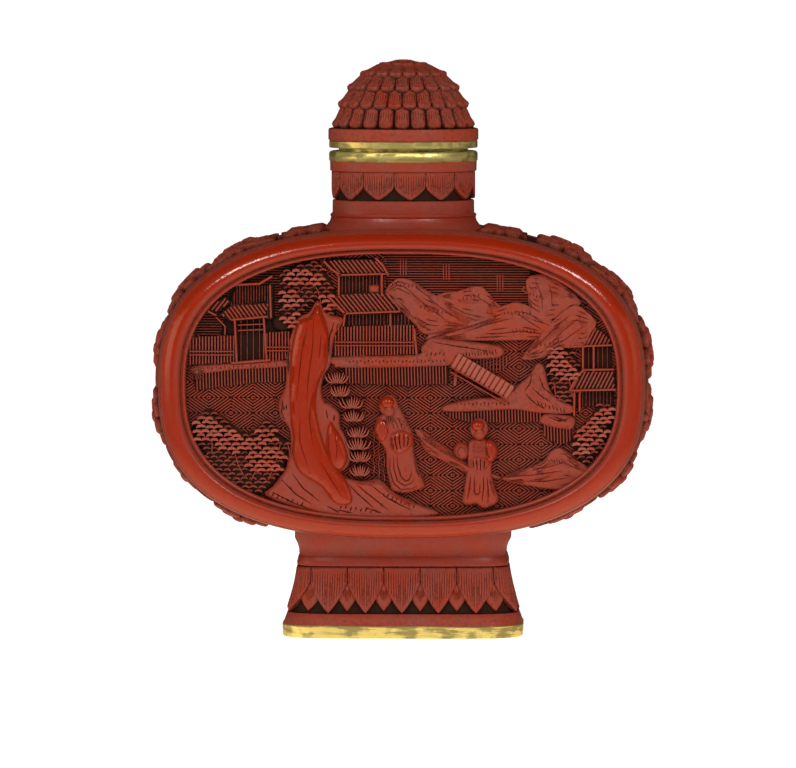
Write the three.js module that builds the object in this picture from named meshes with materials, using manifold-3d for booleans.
// A carved red lacquer snuff bottle with brass rims and a petalled dome stopper.
// Millimetres, +Z up, front towards -Y, standing on z = 0.
import * as THREE from 'three';
import { mergeVertices } from 'three/addons/utils/BufferGeometryUtils.js';
import Module from 'manifold-3d';

const wasm = await Module();
wasm.setup();

// Heights of the pieces and bands, from the ground up.
const FOOT_RIM_HEIGHT = 1.6;
const FOOT_BAND_HEIGHT = 1.6;
const FOOT_LAPPET_HEIGHT = 5.9;
const FOOT_WAIST_HEIGHT = 3.9;
const SHELL_HEIGHT = 40.1;
const NECK_ROOT_HEIGHT = 3.5;
const NECK_LAPPET_HEIGHT = 3.7;
const NECK_BAND_HEIGHT = 1.3;
const MOUTH_RIM_HEIGHT = 1.3;
const STOPPER_STEP_HEIGHT = 0.4;
const STOPPER_RIM_HEIGHT = 1.0;
const DOME_BAND_HEIGHT = 1.6;
const DOME_HEIGHT = 8.8;

// The flattened oval body.
const SHELL_WIDTH = 63;
const SHELL_THICKNESS = 26.4;
const SHELL_POWER = 2.55;
const RIM_WIDTH_AT_SIDES = 3.8;
const RIM_WIDTH_AT_TOP = 3.2;
const CREST_DROP = 0.7;
const OUTER_DROP = 1.6;
const EDGE_DROP = 3.6;
const PANEL_DEPTH = 2.2;
const SIDE_BAND_WIDTH = 17.8;
const SIDE_BAND_RELIEF = 1.3;
const FLOWER_WIDTH = 8.8;
const WALL = 3.5;

// The foot, rectangular in plan with rounded corners.
const FOOT_WIDTH = 31.2;
const FOOT_DEPTH = 18.4;
const FOOT_WAIST_WIDTH = 27;
const FOOT_WAIST_DEPTH = 14;
const FOOT_CORNER_POWER = 6;
const FOOT_CARVING = 0.7;
const FOOT_RIM_BAND = 2.4;
const FOOT_LAPPET_COUNT = 16;

// The neck and mouth, oval in plan.
const NECK_WIDTH = 18.4;
const NECK_DEPTH = 15;
const NECK_POWER = 2.2;
const NECK_LAPPET_COUNT = 13;
const NECK_CARVING = 0.5;
const NECK_FLARE = 0.3;
const NECK_SPREAD = 0.9;
const MOUTH_BORE = 8;
const MOUTH_RIM_OVERHANG = 0.15;

// The stopper.
const PLUG_CLEARANCE = 0.4;
const PLUG_LENGTH = 4.9;
const STOPPER_STEP_INSET = 1.1;
const DOME_BAND_OVERHANG = 0.25;
const PETAL_RELIEF = 0.55;
const DOME_POWER = 1.35;
const PLUG_TAPER = 0.4;

// The relief: widths of bars, slopes of edges and heads of the figures.
const THIN_BAR = 0.4;
const STOUT_BAR = 0.6;
const STEEP_EDGE = 0.2;
const EDGE_SLOPE = 0.25;
const SOFT_EDGE = 0.35;
const FLOWER_SLOPE = 0.8;
const SCHOLAR_HEAD = 1.4;
const BOY_HEAD = 1.3;

// Chamfers and small offsets.
const CHAMFER = 0.3;
const SMALL_CHAMFER = 0.2;
const TRIM = 0.1;
const CUT_PAST = 1;

// How finely round things are divided.
const SHELL_SIDES = 40;
const CAVITY_SIDES = 16;
const RIM_SIDES = 28;
const FINE_STEPS = 50;
const PETAL_STEPS = 60;
const BORE_SIDES = 16;
const SINK = 0.6;

// Places that follow from the sizes above.
const lappetBase = FOOT_RIM_HEIGHT + FOOT_BAND_HEIGHT;
const waistBase = lappetBase + FOOT_LAPPET_HEIGHT;
const shellBase = waistBase + FOOT_WAIST_HEIGHT;
const shellMiddle = shellBase + SHELL_HEIGHT / 2;
const neckBase = shellBase + SHELL_HEIGHT;
const neckLappetBase = neckBase + NECK_ROOT_HEIGHT;
const neckBandBase = neckLappetBase + NECK_LAPPET_HEIGHT;
const neckTop = neckBandBase + NECK_BAND_HEIGHT;
const mouthTop = neckTop + MOUTH_RIM_HEIGHT;
const stopperRimBase = mouthTop + STOPPER_STEP_HEIGHT;
const domeBase = stopperRimBase + STOPPER_RIM_HEIGHT;
const petalBase = domeBase + DOME_BAND_HEIGHT;
const panelFloor = SHELL_THICKNESS / 2 - PANEL_DEPTH;
const panelHalfWidth = SHELL_WIDTH / 2 - RIM_WIDTH_AT_SIDES;
const panelHalfHeight = SHELL_HEIGHT / 2 - RIM_WIDTH_AT_TOP;

const lacquer = () => new THREE.MeshStandardMaterial({ color: 0x9c2a14, roughness: 0.35, metalness: 0 });
const brass = () => new THREE.MeshStandardMaterial({ color: 0xb39a4c, roughness: 0.35, metalness: 1 });

// A point of a superellipse: power 2 is an ellipse, and a higher one is squarer.
function ovalPoint(halfWidth, halfHeight, power, turn) {
  const across = Math.cos(turn);
  const up = Math.sin(turn);
  return [
    halfWidth * Math.sign(across) * Math.abs(across) ** (2 / power),
    halfHeight * Math.sign(up) * Math.abs(up) ** (2 / power),
  ];
}

// A ring lying flat at height z, as an array of points.
function flatRing(halfWidth, halfDepth, power, z, sides) {
  return Array.from({ length: sides }, (_, i) => {
    const [x, y] = ovalPoint(halfWidth, halfDepth, power, (2 * Math.PI * i) / sides);
    return new THREE.Vector3(x, y, z);
  });
}

// A ring standing up across the body at depth y.
function uprightRing(halfWidth, halfHeight, power, y, sides) {
  return Array.from({ length: sides }, (_, i) => {
    const [x, z] = ovalPoint(halfWidth, halfHeight, power, (2 * Math.PI * i) / sides);
    return new THREE.Vector3(x, y, shellMiddle + z);
  });
}

function signedVolume(positions, indices) {
  const corners = [new THREE.Vector3(), new THREE.Vector3(), new THREE.Vector3()];
  let volume = 0;
  for (let i = 0; i < indices.length; i += 3) {
    corners.forEach((corner, k) => corner.fromArray(positions, 3 * indices[i + k]));
    volume += corners[0].dot(corners[1].cross(corners[2])) / 6;
  }
  return volume;
}

// A closed skin through rings of equal length, with its two ends filled by fans.
function loft(rings) {
  const sides = rings[0].length;
  const positions = rings.flat().flatMap((p) => [p.x, p.y, p.z]);
  const indices = [];
  for (let r = 0; r + 1 < rings.length; r += 1) {
    for (let i = 0; i < sides; i += 1) {
      const a = r * sides + i;
      const b = r * sides + ((i + 1) % sides);
      indices.push(a, b, b + sides, a, b + sides, a + sides);
    }
  }
  [0, rings.length - 1].forEach((r) => {
    const middle = rings[r].reduce((sum, p) => sum.add(p), new THREE.Vector3()).divideScalar(sides);
    const hub = positions.length / 3;
    positions.push(middle.x, middle.y, middle.z);
    for (let i = 0; i < sides; i += 1) {
      const a = r * sides + i;
      const b = r * sides + ((i + 1) % sides);
      indices.push(...(r === 0 ? [hub, b, a] : [hub, a, b]));
    }
  });
  if (signedVolume(positions, indices) < 0) indices.reverse();
  const geometry = new THREE.BufferGeometry();
  geometry.setAttribute('position', new THREE.Float32BufferAttribute(positions, 3));
  geometry.setIndex(indices);
  return geometry;
}

function solid(geometry) {
  const bare = geometry.clone();
  bare.deleteAttribute('normal');
  bare.deleteAttribute('uv');
  const merged = mergeVertices(bare, 1e-4);
  return new wasm.Manifold(new wasm.Mesh({
    numProp: 3,
    vertProperties: new Float32Array(merged.attributes.position.array),
    triVerts: new Uint32Array(merged.index.array),
  }));
}

function joined(first, others) {
  return others.reduce((sum, next) => sum.add(next), first);
}

function meshOf(manifold, name, material) {
  const { vertProperties, triVerts } = manifold.getMesh();
  const geometry = new THREE.BufferGeometry();
  geometry.setAttribute('position', new THREE.BufferAttribute(new Float32Array(vertProperties), 3));
  geometry.setIndex(new THREE.BufferAttribute(new Uint32Array(triVerts), 1));
  geometry.computeVertexNormals();
  const mesh = new THREE.Mesh(geometry, material);
  mesh.name = name;
  return mesh;
}

// The rounded rim as pairs: the way in from the outer edge as a share of its width, and the depth.
function rimProfile() {
  const crest = SHELL_THICKNESS / 2;
  return [
    [1, panelFloor],
    [0.93, crest - CHAMFER],
    [0.78, crest - CREST_DROP],
    [0.45, crest],
    [0.12, crest - OUTER_DROP],
    [0, crest - EDGE_DROP],
    [0.03, SIDE_BAND_WIDTH / 2],
  ];
}

// The body: a rimmed oval with a sunk panel front and back.
function shellSkin() {
  const half = rimProfile().map(([inset, depth]) => ({
    width: SHELL_WIDTH / 2 - inset * RIM_WIDTH_AT_SIDES,
    height: SHELL_HEIGHT / 2 - inset * RIM_WIDTH_AT_TOP,
    depth,
  }));
  const ring = (r, side) => uprightRing(r.width, r.height, SHELL_POWER, side * r.depth, SHELL_SIDES);
  return loft([...half.map((r) => ring(r, -1)), ...half.reverse().map((r) => ring(r, 1))]);
}

// The hollow inside the body, one wall in from the band and from the floors of the panels.
function cavitySkin() {
  const halfWidth = SHELL_WIDTH / 2 - WALL;
  const halfHeight = SHELL_HEIGHT / 2 - WALL;
  const halfDepth = panelFloor - WALL;
  const profile = [[0.84, 1], [0.95, 0.85], [1, 0.5]];
  const ring = ([share, depth], side) =>
    uprightRing(halfWidth * share, halfHeight * share, SHELL_POWER, side * depth * halfDepth, CAVITY_SIDES);
  return loft([...profile.map((p) => ring(p, -1)), ...profile.reverse().map((p) => ring(p, 1))]);
}

// The foot's half-width and half-depth at a height: a hollow curve from its base up to its waist.
function footHalfSizes(z) {
  const rise = THREE.MathUtils.clamp((z - FOOT_RIM_HEIGHT) / (waistBase - FOOT_RIM_HEIGHT), 0, 1);
  const flare = (1 - rise) ** 1.5;
  return [
    THREE.MathUtils.lerp(FOOT_WAIST_WIDTH, FOOT_WIDTH, flare) / 2,
    THREE.MathUtils.lerp(FOOT_WAIST_DEPTH, FOOT_DEPTH, flare) / 2,
  ];
}

// A ring through a row of hanging lappets. Each lappet takes its share of its pitch, and the gaps are sunk.
function lappetRing(halfWidth, halfDepth, power, z, count, share, carving) {
  const fine = count * FINE_STEPS;
  const places = placesRound(halfWidth, halfDepth, power, fine, 0);
  const edge = 0.44 * share;
  const stops = [0.46 - edge, 0.5 - edge, 0.5 + edge, 0.54 + edge];
  return Array.from({ length: count * stops.length }, (_, i) => {
    const corner = i % stops.length;
    const step = Math.round((Math.floor(i / stops.length) + stops[corner]) * FINE_STEPS) % fine;
    const { point, outward } = places[step];
    const inGap = corner === 0 || corner === stops.length - 1;
    return point.clone().addScaledVector(outward, inGap ? -carving : 0).setZ(z);
  });
}

// How much of its pitch a lappet takes at a share of its height, from its tip up.
function lappetShare(rise) {
  return 0.12 + 0.88 * Math.sqrt(1 - (1 - rise) ** 2);
}

function footRing(z, share = 0, carving = 0) {
  const [halfWidth, halfDepth] = footHalfSizes(z);
  return lappetRing(halfWidth, halfDepth, FOOT_CORNER_POWER, z, FOOT_LAPPET_COUNT, share, carving);
}

// The foot: a plain band, a row of lappets up its hollow curve, and a plain waist that runs up into the body.
function footSkin() {
  const lappets = [0, 0.3, 1].map((rise) =>
    footRing(lappetBase + FOOT_LAPPET_HEIGHT * rise, lappetShare(rise), FOOT_CARVING));
  return loft([
    footRing(FOOT_RIM_HEIGHT, lappetShare(0)),
    footRing(lappetBase, lappetShare(0)),
    ...lappets,
    footRing(waistBase, 1),
    footRing(shellBase + WALL * 0.7, 1),
  ]);
}

function neckRing(z, outset, share = 1, carving = 0) {
  return lappetRing(
    NECK_WIDTH / 2 + outset, NECK_DEPTH / 2 + outset, NECK_POWER, z, NECK_LAPPET_COUNT, share, carving);
}

// The neck: a root that flares into the body, a row of lappets, and a plain band below the mouth.
function neckSkin() {
  const lappets = [0, 0.3, 1].map((rise) =>
    neckRing(neckLappetBase + NECK_LAPPET_HEIGHT * rise, NECK_FLARE * rise, lappetShare(rise), NECK_CARVING));
  return loft([
    neckRing(neckBase - WALL * 0.8, NECK_SPREAD, lappetShare(0)),
    neckRing(neckBase + NECK_ROOT_HEIGHT * 0.35, TRIM, lappetShare(0)),
    neckRing(neckLappetBase, 0, lappetShare(0)),
    ...lappets,
    neckRing(neckBandBase, NECK_FLARE),
    neckRing(neckTop, NECK_FLARE),
  ]);
}

// Places evenly spaced along a flat ring, each with its point and its outward direction.
function placesRound(halfWidth, halfDepth, power, count, offset) {
  const corners = flatRing(halfWidth, halfDepth, power, 0, 720);
  const travelled = [0];
  corners.forEach((corner, i) => {
    travelled.push(travelled[i] + corner.distanceTo(corners[(i + 1) % corners.length]));
  });
  let segment = 0;
  return Array.from({ length: count }, (_, i) => {
    const target = ((i + offset) / count) * travelled[corners.length];
    while (travelled[segment + 1] < target) segment += 1;
    const from = corners[segment];
    const to = corners[(segment + 1) % corners.length];
    const share = (target - travelled[segment]) / (travelled[segment + 1] - travelled[segment]);
    const along = to.clone().sub(from).normalize();
    return { point: from.clone().lerp(to, share), outward: new THREE.Vector3(along.y, -along.x, 0) };
  });
}

// A flat-topped hill: an outline on z = 0 whose top, at the height given, is drawn in by a slope.
function plateau(outline, height, slope) {
  const count = outline.length;
  const turnsLeft = THREE.ShapeUtils.area(outline) > 0;
  const points = turnsLeft ? outline : outline.slice().reverse();
  const inset = points.map((point, i) => {
    const before = points[(i + count - 1) % count];
    const after = points[(i + 1) % count];
    const along = after.clone().sub(before).normalize();
    return new THREE.Vector2(point.x - along.y * slope, point.y + along.x * slope);
  });
  const positions = [
    ...points.flatMap((p) => [p.x, p.y, 0]),
    ...inset.flatMap((p) => [p.x, p.y, height]),
  ];
  const indices = [];
  THREE.ShapeUtils.triangulateShape(points, []).forEach(([a, b, c]) => {
    indices.push(c, b, a, a + count, b + count, c + count);
  });
  for (let i = 0; i < count; i += 1) {
    const j = (i + 1) % count;
    indices.push(i, j, j + count, i, j + count, i + count);
  }
  const geometry = new THREE.BufferGeometry();
  geometry.setAttribute('position', new THREE.Float32BufferAttribute(positions, 3));
  geometry.setIndex(indices);
  return geometry;
}

// Moves a geometry drawn in its own x (along), y (up), z (out) to a place on a surface.
function placeOn(geometry, origin, up, outward) {
  const along = new THREE.Vector3().crossVectors(up, outward).normalize();
  const trueUp = new THREE.Vector3().crossVectors(outward, along);
  const matrix = new THREE.Matrix4().makeBasis(along, trueUp, outward).setPosition(origin);
  return geometry.clone().applyMatrix4(matrix);
}

// Flowers and leaves round the side band, leaving out the stretches under the neck and over the foot.
function flowerOutline(radius, petals) {
  const steps = petals * 2;
  return Array.from({ length: steps }, (_, i) => {
    const turn = (2 * Math.PI * i) / steps;
    const reach = i % 2 === 0 ? radius * 0.8 : radius;
    return new THREE.Vector2(reach * Math.cos(turn), reach * Math.sin(turn));
  });
}

function sideBandCarving() {
  const halfWidth = SHELL_WIDTH / 2;
  const halfHeight = SHELL_HEIGHT / 2;
  const perimeter = Math.PI * (halfWidth + halfHeight) * 1.06;
  const count = 2 * Math.round(perimeter / (FLOWER_WIDTH * 0.93) / 2);
  const places = placesRound(halfWidth, halfHeight, SHELL_POWER, count, 0.5);
  const depth = SIDE_BAND_RELIEF + SINK;
  const flower = plateau(flowerOutline(FLOWER_WIDTH / 2, 5), depth, FLOWER_SLOPE);
  const rowPitch = (SIDE_BAND_WIDTH - FLOWER_WIDTH) / 2;
  const solids = [];
  places.forEach(({ point, outward }, i) => {
    const stemWidth = point.y > 0 ? NECK_WIDTH : FOOT_WAIST_WIDTH;
    const nearStem = Math.abs(point.x) < stemWidth / 2 + FLOWER_WIDTH * 0.62;
    if (nearStem) return;
    const rows = i % 2 === 0 ? [-1, 1] : [0];
    rows.forEach((row) => {
      const centre = new THREE.Vector3(point.x, row * rowPitch, shellMiddle + point.y);
      const out = new THREE.Vector3(outward.x, 0, outward.y);
      const origin = centre.addScaledVector(out, -SINK - TRIM);
      solids.push(solid(placeOn(flower, origin, new THREE.Vector3(0, 1, 0), out)));
    });
  });
  return solids;
}

// Heights of the relief as shares of the panel's depth.
const FAR = 0.22;
const LOW = 0.32;
const MIDDLE = 0.42;
const NEAR = 0.56;
const HIGH = 0.68;
const PROUD = 0.8;

// The panels are drawn on a grid that runs from the middle to 100 at the sides and to 60 at the top.
function onGrid([across, up]) {
  return new THREE.Vector2((across / 100) * panelHalfWidth, (up / 60) * panelHalfHeight);
}

function straightShape(points) {
  return new THREE.Shape(points.map(onGrid));
}

function curvedShape(points) {
  const corners = points.map(onGrid).map((p) => new THREE.Vector3(p.x, p.y, 0));
  const curve = new THREE.CatmullRomCurve3(corners, true, 'centripetal');
  const steps = points.length;
  return new THREE.Shape(curve.getPoints(steps).slice(0, -1).map((p) => new THREE.Vector2(p.x, p.y)));
}

// A raised field: an outline lifted off the panel's floor, with sloping edges.
function raised(shape, level, slope = EDGE_SLOPE) {
  return plateau(shape.getPoints(1), level * PANEL_DEPTH + SINK, slope);
}

// A straight bar between two grid points.
function bar(from, to, width, level) {
  const a = onGrid(from);
  const b = onGrid(to);
  const along = b.clone().sub(a).normalize();
  const side = new THREE.Vector2(-along.y, along.x).multiplyScalar(width / 2);
  const corners = [a.clone().add(side), a.clone().sub(side), b.clone().sub(side), b.clone().add(side)];
  return new THREE.ExtrudeGeometry(new THREE.Shape(corners), {
    depth: level * PANEL_DEPTH + SINK,
    bevelEnabled: false,
  });
}

// A ribbed field between two edges, each a pair of grid points, with its ribs running from edge to edge.
function ribbed(edgeA, edgeB, ribs, low, high) {
  const section = [[0, 0], [1, 0]];
  for (let i = ribs; i > 0; i -= 1) {
    section.push([i / ribs, low], [(i - 0.5) / ribs, high]);
  }
  section.push([0, low]);
  const heightOf = (level) => (level === 0 ? 0 : level * PANEL_DEPTH + SINK);
  const positions = [edgeA, edgeB].flatMap(([from, to]) => section.flatMap(([share, level]) => {
    const place = onGrid(from.map((value, k) => value + (to[k] - value) * share));
    return [place.x, place.y, heightOf(level)];
  }));
  const count = section.length;
  const indices = [];
  const flat = section.map(([share, level]) => new THREE.Vector2(share, level));
  THREE.ShapeUtils.triangulateShape(flat, []).forEach(([p, q, r]) => {
    indices.push(p, q, r, r + count, q + count, p + count);
  });
  for (let i = 0; i < count; i += 1) {
    const j = (i + 1) % count;
    indices.push(j, i, j + count, j + count, i, i + count);
  }
  if (signedVolume(positions, indices) < 0) indices.reverse();
  const geometry = new THREE.BufferGeometry();
  geometry.setAttribute('position', new THREE.Float32BufferAttribute(positions, 3));
  geometry.setIndex(indices);
  return geometry;
}

// A tiled roof: a ribbed field from its ridge down to its wider eave, with a bar along the eave.
function roof(ridge, eave, ribs) {
  return [
    ribbed(ridge, eave, ribs, MIDDLE, NEAR),
    bar(eave[0], eave[1], THIN_BAR, HIGH),
  ];
}

// A fence of upright bars under a top rail.
function railing(top, bottom, bars) {
  return [
    ribbed(top, bottom, bars, FAR / 2, LOW),
    bar(top[0], top[1], THIN_BAR, MIDDLE),
  ];
}

// Foliage: a field with a scalloped edge and a few sprays standing on it.
function foliage([across, up], halfAcross, halfUp, sprays) {
  const scalloped = (middle, reachAcross, reachUp, steps) => Array.from({ length: steps }, (_, i) => {
    const turn = (2 * Math.PI * i) / steps;
    const reach = i % 2 === 0 ? 1 : 0.84;
    return [middle[0] + reachAcross * reach * Math.cos(turn), middle[1] + reachUp * reach * Math.sin(turn)];
  });
  const tufts = Array.from({ length: sprays }, (_, i) => {
    const turn = 0.6 + (2 * Math.PI * i) / sprays;
    const middle = [across + halfAcross * 0.5 * Math.cos(turn), up + halfUp * 0.5 * Math.sin(turn)];
    return raised(straightShape(scalloped(middle, halfAcross * 0.36, halfUp * 0.3, 6)), NEAR);
  });
  return [raised(straightShape(scalloped([across, up], halfAcross, halfUp, 12)), LOW, STEEP_EDGE), ...tufts];
}

// A robed figure: its robe, the folded sleeves in front of it, and a round head above.
function figure(robe, sleeves, head, headRadius) {
  const middle = onGrid(head);
  return [
    raised(curvedShape(robe), NEAR, SOFT_EDGE),
    raised(curvedShape(sleeves), HIGH, SOFT_EDGE),
    new THREE.SphereGeometry(headRadius, 7, 5)
      .scale(0.92, 1.1, 0.9)
      .translate(middle.x, middle.y, NEAR * PANEL_DEPTH + SINK - headRadius * 0.25),
  ];
}

// The footbridge: a boarded deck between two raised rails.
function bridge(nearRail, farRail) {
  return [
    ribbed(nearRail, farRail, 4, MIDDLE, NEAR),
    bar(nearRail[0], nearRail[1], THIN_BAR, HIGH),
    bar(farRail[0], farRail[1], THIN_BAR, HIGH),
  ];
}

// The tall weathered rock that rises from the bank at the lower left.
function tallRock() {
  const outline = [
    [-46, 32], [-39, 39], [-34, 30], [-28, 25], [-32, 14], [-35, 3], [-32, -12], [-27, -24], [-23, -34],
    [-28, -42], [-14, -42], [-4, -48], [10, -55], [22, -61], [0, -62], [-30, -60], [-62, -52], [-56, -43],
    [-51, -30], [-52, -19], [-58, -8], [-54, 4], [-52, 18],
  ];
  const core = [
    [-44, 28], [-38, 36], [-35, 25], [-38, 10], [-41, -10], [-36, -28], [-34, -40], [-44, -38], [-48, -8],
  ];
  return [raised(curvedShape(outline), HIGH, SOFT_EDGE), raised(curvedShape(core), PROUD)];
}

// The front: a scholar and a boy on the shore of a lake, below hills, a walled court and pavilions.
function frontScene() {
  return [
    raised(curvedShape([[-7, 42], [-1, 49], [8, 46], [21, 39], [34, 27], [9, 26], [-2, 34]]), FAR),
    raised(curvedShape([[16, 40], [30, 45], [42, 42], [51, 33], [26, 31]]), LOW),
    raised(curvedShape([[11, 21], [34, 30], [52, 38], [63, 35], [76, 24], [44, 21]]), MIDDLE),
    raised(curvedShape([[57, 50], [69, 51], [84, 38], [66, 30]]), LOW),
    raised(curvedShape([[56, 12], [64, 24], [78, 37], [86, 36], [91, 28], [84, 18], [70, 16]]), NEAR),
    raised(straightShape([
      [-32, 12], [8, 15], [12, 21], [46, 18], [46, 13], [22, 10], [22, 1], [-26, 1],
    ]), LOW),
    raised(straightShape([[-99, 7], [-77, 10], [-52, 11], [-52, 2], [-82, -1], [-96, -3]]), LOW),
    ...roof([[-80, 37], [-61, 38]], [[-85, 31], [-62, 30]], 3),
    ...railing([[-98, 22], [-78, 23]], [[-98, 9], [-78, 10]], 3),
    ...railing([[-62, 24], [-51, 25]], [[-62, 11], [-52, 12]], 2),
    bar([-77, 30], [-77, 10], STOUT_BAR, HIGH),
    bar([-64, 30], [-64, 11], STOUT_BAR, HIGH),
    ...roof([[-31, 58], [-12, 58]], [[-34, 52], [-7, 52]], 3),
    ...roof([[-30, 42], [-8, 43]], [[-27, 34], [-2, 34]], 4),
    ...railing([[-30, 27], [6, 28]], [[-31, 13], [7, 14]], 5),
    bar([-9, 51], [-9, 43], STOUT_BAR, NEAR),
    ...foliage([-44, 42], 12.5, 15, 2),
    ...tallRock(),
    ...foliage([-84, -27], 13, 14, 2),
    ...foliage([-65, -33], 12.5, 15, 2),
    raised(curvedShape([
      [19, -11], [51, -5], [60, 3], [67, 11], [73, 0], [83, -6], [82, -18], [64, -16], [34, -17],
    ]), NEAR),
    ...bridge([[26, 14], [54, -1]], [[23, 9], [48, -7]]),
    ...foliage([76, 5], 8.5, 13, 2),
    ...roof([[85, 26], [93, 26]], [[81, 18], [99, 18]], 3),
    ...roof([[83, 6], [99, 6]], [[80, -1], [99, -1]], 3),
    ...foliage([87, -22], 9, 13, 2),
    raised(curvedShape([[45, -43], [58, -38], [74, -30], [88, -40], [72, -50], [56, -47]]), NEAR),
    raised(curvedShape([[6, -20], [20, -27], [47, -43], [14, -31]]), LOW, STEEP_EDGE),
    ...figure(
      [[-11, -13], [1, -12], [6, -22], [4, -31], [11, -48], [0, -51], [-7, -46], [-7, -33], [-13, -22]],
      [[-10, -17], [-2, -20], [4, -20], [4, -26], [-9, -24]], [-5.6, -7.4], SCHOLAR_HEAD),
    ...figure(
      [[33, -24], [40, -24], [44, -31], [41, -38], [45, -52], [36, -56], [28, -53], [31, -38], [26, -30]],
      [[29, -27], [38, -27], [43, -31], [29, -32]], [36.5, -19.2], BOY_HEAD),
  ];
}

// The back: a plainer lake view with a pavilion, a bridge, hills and two trees.
function backScene() {
  return [
    raised(curvedShape([[-70, 20], [-50, 38], [-30, 47], [-10, 36], [10, 22], [-30, 18]]), FAR),
    raised(curvedShape([[-10, 20], [12, 34], [34, 46], [58, 40], [80, 22], [30, 16]]), LOW),
    raised(curvedShape([[-100, 6], [-60, 12], [-26, 10], [-12, 2], [-40, -6], [-92, -9]]), MIDDLE),
    raised(curvedShape([[30, -8], [56, -2], [98, 5], [98, -16], [44, -16]]), NEAR),
    ...roof([[56, 22], [76, 22]], [[50, 14], [82, 14]], 3),
    ...railing([[54, 13], [78, 13]], [[54, 2], [78, 3]], 3),
    ...bridge([[-18, 6], [34, -2]], [[-22, 0], [32, -9]]),
    ...foliage([-66, 22], 14, 15, 2),
    raised(curvedShape([
      [-86, -30], [-60, -24], [-30, -38], [30, -52], [10, -62], [-40, -60], [-70, -48],
    ]), HIGH, SOFT_EDGE),
    ...foliage([-60, -14], 15, 12, 2),
    raised(curvedShape([[40, -46], [58, -36], [78, -34], [90, -40], [70, -52]]), MIDDLE),
  ];
}

// The relief of one panel, laid on its floor facing out.
function panelRelief(geometries, side) {
  const outward = new THREE.Vector3(0, side, 0);
  const origin = new THREE.Vector3(0, side * (panelFloor - SINK), shellMiddle);
  return geometries.map((geometry) => solid(placeOn(geometry, origin, new THREE.Vector3(0, 0, 1), outward)));
}

function boreSkin(from, to, radius) {
  return loft([from, to].map((z) => flatRing(radius, radius, 2, z, BORE_SIDES)));
}

function lacquerBottle() {
  const outside = joined(solid(shellSkin()), [
    solid(footSkin()),
    solid(neckSkin()),
    ...sideBandCarving(),
    ...panelRelief(frontScene(), -1),
    ...panelRelief(backScene(), 1),
  ]);
  const hollow = solid(cavitySkin()).add(solid(boreSkin(shellMiddle, neckTop + CUT_PAST, MOUTH_BORE / 2)));
  return meshOf(outside.subtract(hollow), 'lacquer_bottle', lacquer());
}

function footRim() {
  const ring = (z, outset) => flatRing(
    FOOT_WIDTH / 2 + outset, FOOT_DEPTH / 2 + outset, FOOT_CORNER_POWER, z, RIM_SIDES);
  const band = solid(loft([
    ring(0, -TRIM),
    ring(SMALL_CHAMFER, TRIM / 2),
    ring(FOOT_RIM_HEIGHT, TRIM / 2),
  ]));
  const recess = solid(loft([
    ring(-CUT_PAST, -FOOT_RIM_BAND),
    ring(FOOT_RIM_HEIGHT + CUT_PAST, -FOOT_RIM_BAND),
  ]));
  return meshOf(band.subtract(recess), 'foot_rim', brass());
}

// A ring of the mouth's oval, given by how far it stands out from the top of the neck.
function mouthRing(z, outset) {
  const overhang = NECK_FLARE + outset;
  return flatRing(NECK_WIDTH / 2 + overhang, NECK_DEPTH / 2 + overhang, NECK_POWER, z, RIM_SIDES);
}

function mouthRim() {
  const band = solid(loft([
    mouthRing(neckTop, MOUTH_RIM_OVERHANG),
    mouthRing(mouthTop - CHAMFER, MOUTH_RIM_OVERHANG),
    mouthRing(mouthTop, MOUTH_RIM_OVERHANG - CHAMFER),
  ]));
  const bore = solid(boreSkin(neckTop - CUT_PAST, mouthTop + CUT_PAST, MOUTH_BORE / 2));
  return meshOf(band.subtract(bore), 'mouth_rim', brass());
}

function stopperRim() {
  const plugRadius = MOUTH_BORE / 2 - PLUG_CLEARANCE;
  const plate = solid(loft([
    mouthRing(mouthTop, -STOPPER_STEP_INSET),
    mouthRing(stopperRimBase, -STOPPER_STEP_INSET),
    mouthRing(stopperRimBase, MOUTH_RIM_OVERHANG),
    mouthRing(domeBase - SMALL_CHAMFER, MOUTH_RIM_OVERHANG),
    mouthRing(domeBase, MOUTH_RIM_OVERHANG - SMALL_CHAMFER),
  ]));
  const plug = solid(loft([
    flatRing(plugRadius - PLUG_TAPER, plugRadius - PLUG_TAPER, 2, mouthTop - PLUG_LENGTH, BORE_SIDES),
    flatRing(plugRadius, plugRadius, 2, mouthTop - PLUG_LENGTH + PLUG_TAPER, BORE_SIDES),
    flatRing(plugRadius, plugRadius, 2, mouthTop + STOPPER_STEP_HEIGHT / 2, BORE_SIDES),
  ]));
  return meshOf(plate.add(plug), 'stopper_rim', brass());
}

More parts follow.
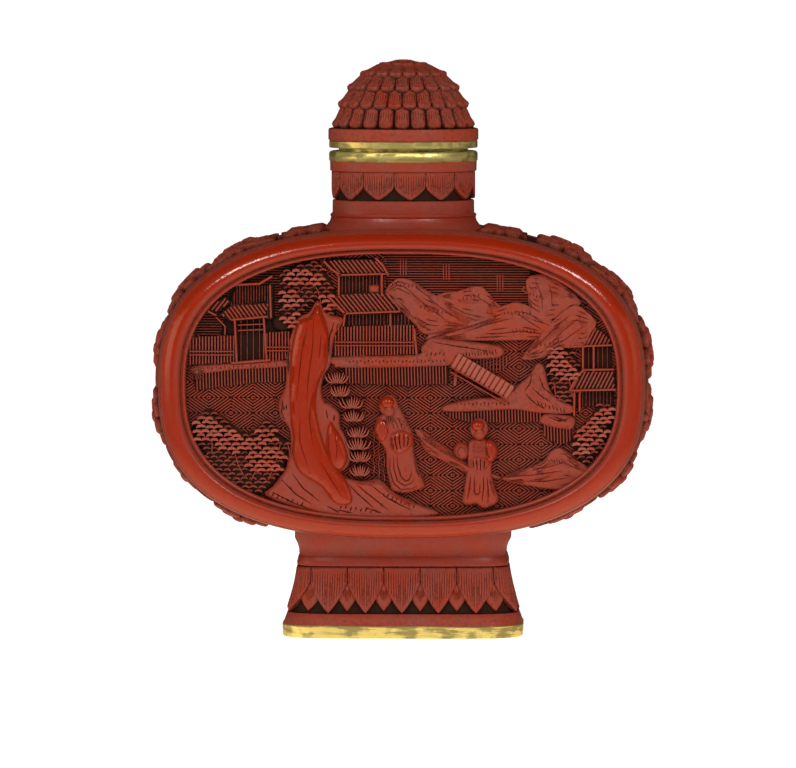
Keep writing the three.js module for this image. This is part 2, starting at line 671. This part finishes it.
// A ring of the dome at a share of its height: petals swell by their relief and lift at their edges.
function petalRing(share, petals, offset, relief, lift) {
  return Array.from({ length: PETAL_STEPS }, (_, i) => {
    const turns = i / PETAL_STEPS;
    const within = (turns * petals + offset) % 1;
    const bulge = Math.sqrt(Math.max(0, 1 - Math.abs(2 * within - 1) ** 3));
    const height = Math.min(0.998, share + lift * (1 - bulge));
    const round = Math.sqrt(1 - height ** DOME_POWER);
    const [x, y] = ovalPoint(
      (NECK_WIDTH / 2) * round + relief * bulge,
      (NECK_DEPTH / 2) * round + relief * bulge,
      NECK_POWER,
      2 * Math.PI * turns,
    );
    return new THREE.Vector3(x, y, petalBase + DOME_HEIGHT * height);
  });
}

// A plain band below rows of petals that overlap downwards, in one skin from bottom to top.
function stopperDome() {
  const wide = NECK_WIDTH / 2 + NECK_FLARE + DOME_BAND_OVERHANG;
  const deep = NECK_DEPTH / 2 + NECK_FLARE + DOME_BAND_OVERHANG;
  const bandRing = (z, inset) => flatRing(wide - inset, deep - inset, NECK_POWER, z, PETAL_STEPS);
  const rows = [
    { from: 0.01, to: 0.28, petals: 20, offset: 0 },
    { from: 0.28, to: 0.53, petals: 20, offset: 0.5 },
    { from: 0.53, to: 0.75, petals: 20, offset: 0 },
    { from: 0.75, to: 0.9, petals: 15, offset: 0.5 },
    { from: 0.9, to: 0.98, petals: 10, offset: 0 },
  ];
  const petalRings = rows.flatMap(({ from, to, petals, offset }) => [
    petalRing(from + 0.01, petals, offset, PETAL_RELIEF, (to - from) * 0.3),
    petalRing(to - 0.01, petals, offset, PETAL_RELIEF * 0.3, 0),
  ]);
  return meshOf(solid(loft([
    bandRing(domeBase, 0),
    bandRing(petalBase - CHAMFER, 0),
    bandRing(petalBase, CHAMFER),
    ...petalRings,
    petalRing(0.997, 10, 0, 0, 0),
  ])), 'stopper_dome', lacquer());
}

const snuffBottle = new THREE.Group();
snuffBottle.add(lacquerBottle(), footRim(), mouthRim(), stopperRim(), stopperDome());

export default snuffBottle;
